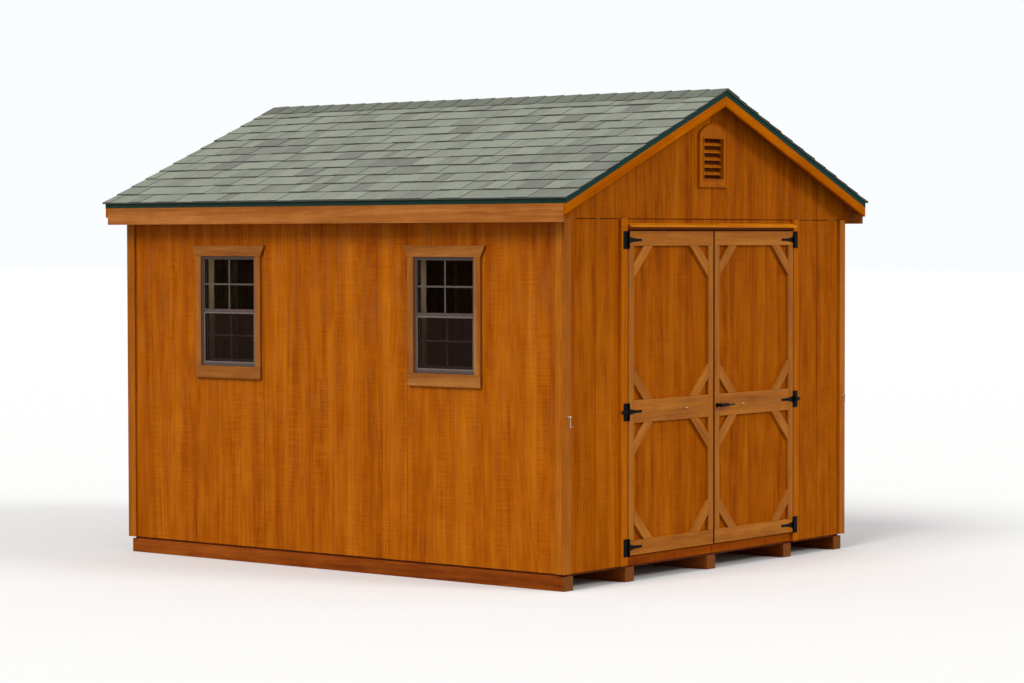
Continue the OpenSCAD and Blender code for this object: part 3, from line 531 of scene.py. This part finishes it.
siding_tones = rgb(135, 59, 0), rgb(166, 84, 2), rgb(186, 104, 13)
panel_tones = rgb(126, 52, 0), rgb(164, 82, 2), rgb(186, 104, 8)
door_tones = rgb(130, 68, 6), rgb(164, 94, 16), rgb(188, 116, 34)
lumber_tones = rgb(196, 162, 112), rgb(230, 202, 152), rgb(246, 224, 182)
sheet_tones = rgb(150, 110, 66), rgb(184, 144, 94), rgb(206, 168, 118)
# Past the gable walls: the stain, darker still as painted shade under the overhangs.
stain_and_painted_shade_tones = rgb(70, 28, 0), rgb(96, 42, 0), rgb(120, 60, 4)
treated_tones = rgb(84, 34, 8), rgb(112, 52, 20), rgb(136, 72, 34)

siding_x = wood("siding_front", lay_of_siding("X"), siding_tones, sawn=0.8, gloss=0.012,
                contrast=1.35, painted_sheen=0.15, bare=abs(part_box("front_studs_left")[0].y) + FACE)
siding_y = wood("siding_side", lay_of_siding("Y"), siding_tones, sawn=1.4, gloss=0.03,
                contrast=1.4, painted_sheen=0.45, bare=abs(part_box("left_wall_studs")[0].x) + FACE)
panel_wood = wood("door_panels", lay_of_siding("X"), panel_tones, sawn=0.8, gloss=0.012,
                  contrast=1.15, painted_sheen=0.15, bare=abs(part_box("left_door_panel")[1].y) + FACE)
sill_wood = wood("strip_under_doors", lay_along("X", 1.0),
                 (rgb(118, 46, 0), rgb(153, 70, 0), rgb(178, 94, 6)), sawn=0.4, gloss=0.02)
soffit_wood = wood("soffit", lay_along("Y"), siding_tones, sawn=0.4, gloss=0.03)
# The meeting edges of the leaves take a painted shade, for the shade in the gap between them.
door_trim_wood = wood("door_trim", lay_of_leaf, door_tones, spread=0.15, rough=0.5,
                      contrast=1.15, shade=rgb(60, 18, 3))
window_trim_wood = wood("window_trim", lay_of_boards,
                        (rgb(110, 56, 12), rgb(142, 82, 27), rgb(168, 107, 47)),
                        spread=0.2, rough=0.5, contrast=1.2)
casing_wood = wood("door_casing", lay_of_boards,
                   (rgb(146, 70, 0), rgb(178, 92, 1), rgb(200, 116, 10)),
                   rough=0.5, gloss=0.02)
corner_wood = wood("corner_board", lay_of_boards,
                   (rgb(130, 68, 4), rgb(163, 88, 8), rgb(186, 112, 28)),
                   spread=0.2, rough=0.5, gloss=0.08)
fascia_wood = wood("fascia", lay_of_boards,
                   (rgb(118, 56, 10), rgb(152, 86, 28), rgb(180, 112, 50)),
                   rough=0.5, contrast=1.3)
rake_wood = wood("rake_board", lay_of_boards,
                 (rgb(150, 70, 0), rgb(182, 93, 0), rgb(202, 114, 8)),
                 rough=0.5, contrast=1.2, gloss=0.0)
# The part under the lip is painted darker as its shade, and the light tones are raised as a
# painted highlight on its top.
cap_wood = wood("drip_cap", lay_of_cap,
                (rgb(124, 56, 0), rgb(206, 120, 12), rgb(232, 152, 40)),
                rough=0.35, gloss=0.03, painted_light=-0.6)
vent_wood = wood("vent", lay_of_boards,
                 (rgb(140, 66, 0), rgb(170, 88, 2), rgb(194, 112, 14)),
                 rough=0.42, gloss=0.03, figure=0.3)
skid_wood = wood("skids", lay_of_boards,
                 (rgb(96, 40, 4), rgb(134, 62, 10), rgb(160, 84, 24)),
                 rough=0.7, sawn=0.5, spread=0.4, contrast=1.3, gloss=0.05,
                 ends=(rgb(112, 62, 26), rgb(142, 88, 46)))
# Its outer face, seen through the gap above the doors, takes a painted shade.
header_wood = wood("header", lay_of_header, lumber_tones, rough=0.65, shade=rgb(56, 20, 4))
studs_x = wood("studs_across", lay_of_wall("X"), lumber_tones, rough=0.65)
studs_y = wood("studs_along", lay_of_wall("Y"), lumber_tones, rough=0.65)
floor_wood = wood("floor_timbers", lay_along("X", 0.2), treated_tones, rough=0.7)
lumber_y = wood("lumber_along", lay_along("Y", 0.2), lumber_tones, rough=0.65)
rafter_wood = wood("rafters", lay_of_boards, lumber_tones, rough=0.65, stain_and_painted_shade=stain_and_painted_shade_tones)
deck_wood = wood("roof_and_floor_boards", lay_along("X", 1.2), sheet_tones, rough=0.7,
                 stain_and_painted_shade=stain_and_painted_shade_tones)


def shingle_finish(name, tone_of, shade=0.0, butt_tone=rgb(80, 82, 76),
                   end_tone=rgb(44, 50, 46)):
    """Mineral granules on asphalt, a tone for each tab, and cut edges.

    shade darkens all but the raked ends, which are end_tone; butts are the lower edges. Butts and
    raked ends are dark as cut asphalt, and darker still as painted shade.
    """
    f = Finish(name)
    x, y, z = f.place()
    tone = tone_of(f, x, y, z)
    granules = f.noise(x * 620.0, y * 620.0, z * 620.0, 1.0)
    clouds = f.noise(x * 9.0, y * 9.0, z * 9.0, 3.0)
    mixed = tone * 0.72 + clouds * 0.26 + 0.02
    blend = f.ramp(mixed, (0.12, rgb(92, 93, 88)), (0.32, rgb(114, 117, 107)),
                   (0.6, rgb(126, 130, 117)), (0.92, rgb(137, 142, 126)))
    speckled = f.mix(f.range(granules, 0.25, 0.75), f.mix(0.3, blend, rgb(58, 60, 56)),
                     f.mix(0.3, blend, rgb(196, 200, 184)))
    nx, ny, nz = f.parts(f.node("TexCoord", {}, {}, "Normal"))
    side = (x > 0.0) * 2.0 - 1.0
    butt = (nx * side * SLOPE_C - nz * SLOPE_S) > 0.75
    colour = f.mix(shade, f.mix(butt, speckled, butt_tone), rgb(36, 41, 18))
    colour = f.mix(abs(ny) > 0.75, colour, end_tone)
    return f.surface(colour, 0.9, granules, 0.0016, Specular_IOR_Level=0.12)


def tone_by_course(f, x, y, z):
    down = (ridge_z - z) * SLOPE_S + abs(x) * SLOPE_C
    course = math.floor((slope_len - down) / EXPOSURE + 0.02)
    side = x > 0.0
    stagger = f.chance(course, side, 5.0) * 4.0
    return f.chance(course, math.floor(y / 0.175 + stagger), side)


def tone_of_cap(f, x, y, z):
    return f.chance(math.floor((y - shingle_box[0].y) / cap_step), 2.0, 7.0) * 0.2 + 0.05


cap_step = (shingle_box[1].y - shingle_box[0].y) / CAP_TABS
course_shingle = shingle_finish("shingle_courses", tone_by_course)
# The raised tabs' butts are darker still, as painted shadow under them.
tab_shingle = shingle_finish("shingle_tabs", lambda f, x, y, z: f.attribute("tab", "Fac"),
                             butt_tone=rgb(40, 42, 38))
cap_shingle = shingle_finish("ridge_tabs", tone_of_cap, 0.3, end_tone=rgb(92, 95, 84))


def plain(name, colour, rough, scale=60.0, depth=0.0002, **sockets):
    """Metal or plastic: a near even colour with faint wear in its gloss."""
    f = Finish(name)
    x, y, z = f.place()
    wear = f.noise(x * scale, y * scale, z * scale, 3.0)
    shade = f.mix(f.range(wear, 0.3, 0.8), tuple(c * 0.8 for c in colour[:3]) + (1.0,),
                  tuple(min(1.0, c * 1.2) for c in colour[:3]) + (1.0,))
    return f.surface(shade, wear * 0.25 + (rough - 0.125), wear, depth, **sockets)


rake_metal = plain("rake_drip_edge", rgb(8, 53, 47), 0.38, Specular_IOR_Level=0.06)
eave_metal = plain("eave_drip_edge", rgb(24, 48, 39), 0.38, Specular_IOR_Level=0.06)
bronze = plain("window_frame", rgb(82, 66, 61), 0.4, Specular_IOR_Level=0.2)
bar_metal = plain("glazing_bars", rgb(84, 73, 65), 0.4, Specular_IOR_Level=0.2)
screen_frame = plain("screen_frame", rgb(108, 96, 88), 0.4, Specular_IOR_Level=0.3)
iron = plain("black_iron", rgb(7, 7, 8), 0.3, scale=140.0, depth=0.0005,
             Specular_IOR_Level=0.04)
steel = plain("bright_steel", rgb(205, 204, 198), 0.25, Metallic=1.0)


def glass_finish():
    """Clear panes with a faint smear in their gloss."""
    f = Finish("window_glass")
    x, y, z = f.place()
    smear = f.noise(x * 4.0, y * 4.0, z * 4.0, 3.0)
    return f.surface(rgb(10, 8, 8), smear * 0.05 + 0.02, Alpha=0.06, Specular_IOR_Level=0.05)


def woven(f, across, up, pitch, low, high):
    """1 on the threads of a mesh and 0 in its holes; pitch is in radians a metre."""
    warp = (across * pitch).wave() * 0.5 + 0.5
    weft = (up * pitch).wave() * 0.5 + 0.5
    return f.range(f.node("Math", {"operation": "MAXIMUM"}, {0: warp, 1: weft}), low, high)


def screen_finish():
    """Woven wire: dark threads with open holes between them."""
    f = Finish("insect_screen")
    _, y, z = f.place()
    threads = woven(f, y, z, 4200.0, 0.55, 0.75)
    return f.surface(rgb(42, 30, 25), 0.8, Alpha=threads * 0.28 + 0.19, Specular_IOR_Level=0.02)


def vent_mesh_finish():
    """Brown woven mesh against insects; its dark colour is also painted shade behind the louvres.
    """
    f = Finish("vent_mesh")
    x, _, z = f.place()
    threads = woven(f, x, z, 3100.0, 0.4, 0.7)
    return f.surface(f.mix(threads, rgb(52, 16, 2), rgb(88, 38, 6)), 0.8,
                     Alpha=threads * 0.3 + 0.65, Specular_IOR_Level=0.05)


screen_mesh = screen_finish()
vent_mesh = vent_mesh_finish()

finish_of = {
    "floor_frame": floor_wood, "floor_deck": deck_wood,
    "left_wall_siding": siding_y, "right_wall_siding": siding_y,
    "back_wall_siding": siding_x, "front_siding_left": siding_x,
    "front_siding_right": siding_x, "front_siding_over_door": siding_x,
    "front_siding_under_doors": sill_wood,
    "front_gable_siding": siding_x, "back_gable_siding": siding_x,
    "left_wall_studs": studs_y, "right_wall_studs": studs_y, "back_wall_studs": studs_x,
    "front_studs_left": studs_x, "front_studs_right": studs_x, "front_header": header_wood,
    "ridge_board": lumber_y, "roof_deck": deck_wood,
    "roof_shingles": course_shingle, "ridge_cap": cap_shingle,
    "eave_drip_edges": eave_metal, "rake_drip_edges": rake_metal,
    "soffits": soffit_wood, "window_glass": glass_finish(),
    "hold_back_eyes": steel, "left_door_eye": steel, "right_door_eye": steel,
    "left_hook": steel, "right_hook": steel,
    "left_door_panel": panel_wood, "right_door_panel": panel_wood,
    "right_handle_rose": iron,
}
for node, finish in finish_of.items():
    mesh = frame["nodes"][node].data
    mesh.materials.clear()
    mesh.materials.append(finish.material)

for node, finish, width in (
        ("skids", skid_wood, 0.003), ("rafters", rafter_wood, 0.0015),
        ("fascias", fascia_wood, 0.0015), ("rake_boards", rake_wood, 0.0015),
        ("corner_boards", corner_wood, 0.0015), ("door_casings", casing_wood, 0.0015),
        ("door_drip_cap", cap_wood, 0.002), ("window_trim", window_trim_wood, 0.0015),
        ("left_door_trim", door_trim_wood, 0.0012), ("right_door_trim", door_trim_wood, 0.0012),
        ("gable_vents", vent_wood, 0.0015),
        ("window_frames", bronze, 0.0012), ("window_sashes", bronze, 0.0012),
        ("hinge_pads", iron, 0.0006),
        ("left_door_straps", iron, 0.0006), ("right_door_straps", iron, 0.0006)):
    boards(node, finish, width)


# ---- shingles ----

def shingle_tabs(name, side):
    """The raised tabs of laminated shingles, course by course up one slope."""
    thick, gap = 0.003, 0.003
    butt_v, top_v = 0.010, 0.004        # height of a course over the roof boards, low and high
    tilt = math.atan2(butt_v - top_v, EXPOSURE)
    down = Vector((side * SLOPE_C, 0, -SLOPE_S))
    out = Vector((side * SLOPE_S, 0, SLOPE_C))
    down, out = (down * math.cos(tilt) + out * math.sin(tilt),
                 out * math.cos(tilt) - down * math.sin(tilt))
    turn = Matrix((down, (0, side, 0), out)).transposed().to_4x4()
    first, last = shingle_box[0].y + 0.002, shingle_box[1].y - 0.002
    bm = bmesh.new()
    tab = bm.faces.layers.float.new("tab")
    for course in range(COURSES + 1):
        low = slope_len - course * EXPOSURE - 0.0015
        high = max(low - EXPOSURE + 0.0005, CAP_REACH - 0.01)
        y = first
        raised = dice.random() < 0.5
        while y < last - 0.03:
            end = min(y + dice.uniform(0.09, 0.21), last)
            if last - end < 0.04:
                end = last
            chance = dice.random()
            if raised:
                middle_u = (low + high) / 2
                v = butt_v - (low - middle_u) * math.tan(tilt) + thick / 2 - 0.0004
                point = (side * (middle_u * SLOPE_C + v * SLOPE_S), (y + end) / 2,
                         ridge_z - middle_u * SLOPE_S + v * SLOPE_C)
                made = bmesh.ops.create_cube(
                    bm, size=1.0, matrix=Matrix.Translation(point) @ turn
                    @ Matrix.Diagonal((low - high, end - y, thick, 1.0)))
                for vert in made["verts"]:
                    for face in vert.link_faces:
                        face[tab] = chance
            y = end + gap
            raised = not raised if dice.random() < 0.7 else raised
    keep(name, bm, tab_shingle, "shed")


shingle_tabs("shingle_tabs_left", -1)
shingle_tabs("shingle_tabs_right", 1)


# ---- windows ----

HALF_WINDOW = 0.2407
HALF_UPPER_PANE, HALF_LOWER_PANE = 0.2202, 0.2122
SASH_STEP = 0.0164          # from the upper panes in to the lower ones
MEETING_RAIL = 0.0103       # from its middle to the panes
HALF_BAR = 0.006
BAR_NEAR, BAR_FAR = 0.0001, 0.0045      # from the face of a pane
CROSSING_STEP = 0.0006      # the level bar lies behind the upright one

frame_low, frame_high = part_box("window_frames")
window_ys = frame_low.y + HALF_WINDOW, frame_high.y - HALF_WINDOW
sash_low, sash_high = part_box("window_sashes")
screen_low, screen_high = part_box("window_screens")
meet_z = (sash_low.z + sash_high.z) / 2
glass_low, glass_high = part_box("window_glass")


def glazing_bars():
    """One upright and one level bar before each pane."""
    bm = bmesh.new()
    for y in window_ys:
        for face, half, low, high in (
                (glass_low.x, HALF_UPPER_PANE, meet_z + MEETING_RAIL, glass_high.z),
                (glass_low.x + SASH_STEP, HALF_LOWER_PANE,
                 glass_low.z, meet_z - MEETING_RAIL)):
            x0, x1 = face - BAR_FAR, face - BAR_NEAR
            middle = (low + high) / 2
            slab(bm, (x0, y - HALF_BAR, low), (x1, y + HALF_BAR, high))
            for y0, y1 in ((y - half, y - HALF_BAR), (y + HALF_BAR, y + half)):
                slab(bm, (x0 + CROSSING_STEP, y0, middle - HALF_BAR),
                     (x1, y1, middle + HALF_BAR))
    ease(bm, sharp_edges(bm), 0.0014)
    keep("glazing_bars", bm, bar_metal, "shed")


def screens():
    """A light frame round the woven mesh before each lower sash."""
    bm = bmesh.new()
    width = 0.009
    for y in window_ys:
        half = screen_high.y - window_ys[1]
        made = slab(bm, (screen_low.x, y - half, screen_low.z),
                    (screen_high.x, y + half, screen_high.z))
        faces = {f for v in made for f in v.link_faces if abs(f.normal.x) > 0.9}
        bmesh.ops.inset_individual(bm, faces=list(faces), thickness=width,
                                   use_even_offset=True)
        bmesh.ops.bridge_loops(bm, edges=[e for f in faces for e in f.edges])
        bmesh.ops.delete(bm, geom=list(faces), context="FACES_ONLY")
    bmesh.ops.recalc_face_normals(bm, faces=bm.faces)
    ease(bm, sharp_edges(bm), 0.001)
    piece = keep("screen_frames", bm, screen_frame, "shed")
    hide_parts("window_screens")
    bm = bmesh.new()
    tuck, half_wire = 0.001, 0.0002
    middle = (screen_low.x + screen_high.x) / 2
    for y in window_ys:
        half = screen_high.y - window_ys[1] - width + tuck
        slab(bm, (middle - half_wire, y - half, screen_low.z + width - tuck),
             (middle + half_wire, y + half, screen_high.z - width + tuck))
    keep("screen_mesh", bm, screen_mesh, "shed")


glazing_bars()
screens()


def vent_meshes():
    """Woven mesh across the inner mouth of each vent."""
    bm = bmesh.new()
    half_mouth = 0.109
    vent_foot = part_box("gable_vents")[0].z
    mouth_low, mouth_high = vent_foot + 0.049, vent_foot + 0.306
    face = abs(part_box("front_studs_left")[0].y)
    for side in (-1, 1):
        y0, y1 = sorted((side * (face - 0.0008), side * (face - 0.0003)))
        slab(bm, (-half_mouth, y0, mouth_low), (half_mouth, y1, mouth_high))
    keep("vent_meshes", bm, vent_mesh, "shed")


vent_meshes()

# ---- hardware ----

joint_at = {joint["name"]: Vector(joint["pos_m"]) for joint in frame["joints"]}
hinge = joint_at["right_door_hinge"]
HALF_STRAP = 0.0239
STRAP_THICK = 0.003
STRAP_SCREWS = 0.047, 0.085, 0.124      # from the pins
PAD_OUT = 0.030             # from the pins to the middle of the pads
PAD_SCREW_UP = 0.040
SCREW_RADIUS, SCREW_HEIGHT = 0.0042, 0.0022
DOME_RADIUS, DOME_HEIGHT = 0.009, 0.005
DOME_SEAT = 0.006           # before the straps

strap_low, strap_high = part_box("right_door_straps")
hinge_zs = strap_low.z + HALF_STRAP, hinge.z, strap_high.z - HALF_STRAP
plate_y = strap_high.y - STRAP_THICK
for side, body in ((-1, "left_door"), (1, "right_door")):
    heads(f"{body}_strap_screws",
          [((side * (hinge.x - reach), plate_y, z), (0, -1, 0))
           for z in hinge_zs for reach in STRAP_SCREWS],
          SCREW_RADIUS, SCREW_HEIGHT, iron, body)
heads("pad_screws",
      [((side * (hinge.x + PAD_OUT), plate_y, z + up), (0, -1, 0))
       for side in (-1, 1) for z in hinge_zs for up in (-PAD_SCREW_UP, PAD_SCREW_UP)],
      SCREW_RADIUS, SCREW_HEIGHT, iron, "shed")
heads("middle_pad_domes",
      [((side * (hinge.x + PAD_OUT), plate_y - DOME_SEAT, hinge.z), (0, -1, 0))
       for side in (-1, 1)],
      DOME_RADIUS, DOME_HEIGHT, iron, "shed", 20)


def lever():
    """A turned hub with a lever that swells to its grip and ends in a slim tail."""
    bm = bmesh.new()
    axis = joint_at["handle_turn"]
    front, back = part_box("door_handle")[0].y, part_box("door_handle")[1].y
    # The hub's radius, and how far along its axis.
    profile = [(0.0, back), (0.0085, back), (0.0092, back - 0.001), (0.0092, back - 0.012),
               (0.0118, back - 0.018), (0.0128, back - 0.021), (0.0128, front + 0.005),
               (0.0112, front + 0.0015), (0.0070, front + 0.0003), (0.0, front + 0.0001)]
    ring = [bm.verts.new((axis.x + r, y, axis.z)) for r, y in profile]
    edges = [bm.edges.new(pair) for pair in zip(ring, ring[1:])]
    bmesh.ops.spin(bm, geom=ring + edges, cent=axis, axis=(0, 1, 0), dvec=(0, 0, 0),
                   angle=math.tau, steps=28, use_merge=True)
    bmesh.ops.remove_doubles(bm, verts=bm.verts, dist=1e-6)
    middle = front + 0.0065
    rings = []
    # Metres from the axis, then half the height and half the thickness in millimetres.
    for reach, tall, thick in ((0.004, 9.5, 5.5), (0.014, 11.4, 6.3), (0.030, 10.6, 6.2),
                               (0.055, 10.4, 6.2), (0.078, 10.8, 6.3), (0.086, 10.0, 6.0),
                               (0.0905, 7.2, 5.2), (0.095, 5.2, 4.4), (0.120, 4.6, 4.0),
                               (0.145, 4.9, 4.1), (0.154, 4.6, 3.9), (0.1585, 2.8, 2.6),
                               (0.1597, 0.8, 0.8)):
        made = bmesh.ops.create_circle(
            bm, cap_ends=False, segments=20, radius=0.001,
            matrix=Matrix.Translation((axis.x + reach, middle, axis.z))
            @ Matrix.Diagonal((1.0, thick, tall, 1.0)) @ Matrix.Rotation(math.pi / 2, 4, "Y"))
        rings.append(list({edge for vert in made["verts"] for edge in vert.link_edges}))
    for one, two in zip(rings, rings[1:]):
        bmesh.ops.bridge_loops(bm, edges=one + two)
    for ring in (rings[0], rings[-1]):
        bmesh.ops.contextual_create(bm, geom=ring)
    bmesh.ops.recalc_face_normals(bm, faces=bm.faces)
    piece = keep("handle_lever", bm, iron, body_of("door_handle"), smooth=True)
    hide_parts("door_handle")


lever()


# ---- stage ----

def stage():
    """A pale floor that fades out, under an even sky."""
    mesh = bpy.data.meshes.new("floor")
    bm = bmesh.new()
    bmesh.ops.create_grid(bm, x_segments=1, y_segments=1, size=150.0)
    bm.to_mesh(mesh)
    bm.free()
    floor = bpy.data.objects.new("floor", mesh)
    bpy.context.scene.collection.objects.link(floor)
    f = Finish("pale_floor")
    seen = f.seen()
    shader = f.node("BsdfDiffuse", {}, {
        "Color": f.mix(seen, (0.42, 0.42, 0.42, 1.0), (0.78, 0.78, 0.78, 1.0))})
    white = f.node("Emission", {}, {"Color": (1.0, 1.0, 1.0, 1.0), "Strength": 1.0})
    x, y, _ = f.place()
    far = f.range((x * x + y * y).power(0.5), 4.0, 30.0)
    faded = f.node("MixShader", {}, {0: far * seen, 1: shader, 2: white})
    f.node("OutputMaterial", {}, {0: faded})
    mesh.materials.append(f.material)
    studio = Finish("studio", "worlds")
    sky = studio.node("Background", {}, {"Color": (0.96, 0.98, 1.0, 1.0),
                                         "Strength": studio.seen() * 0.38 + 0.62})
    studio.node("OutputWorld", {}, {0: sky})
    bpy.context.scene.world = studio.material


stage()
bpy.context.scene.view_settings.view_transform = "Standard"
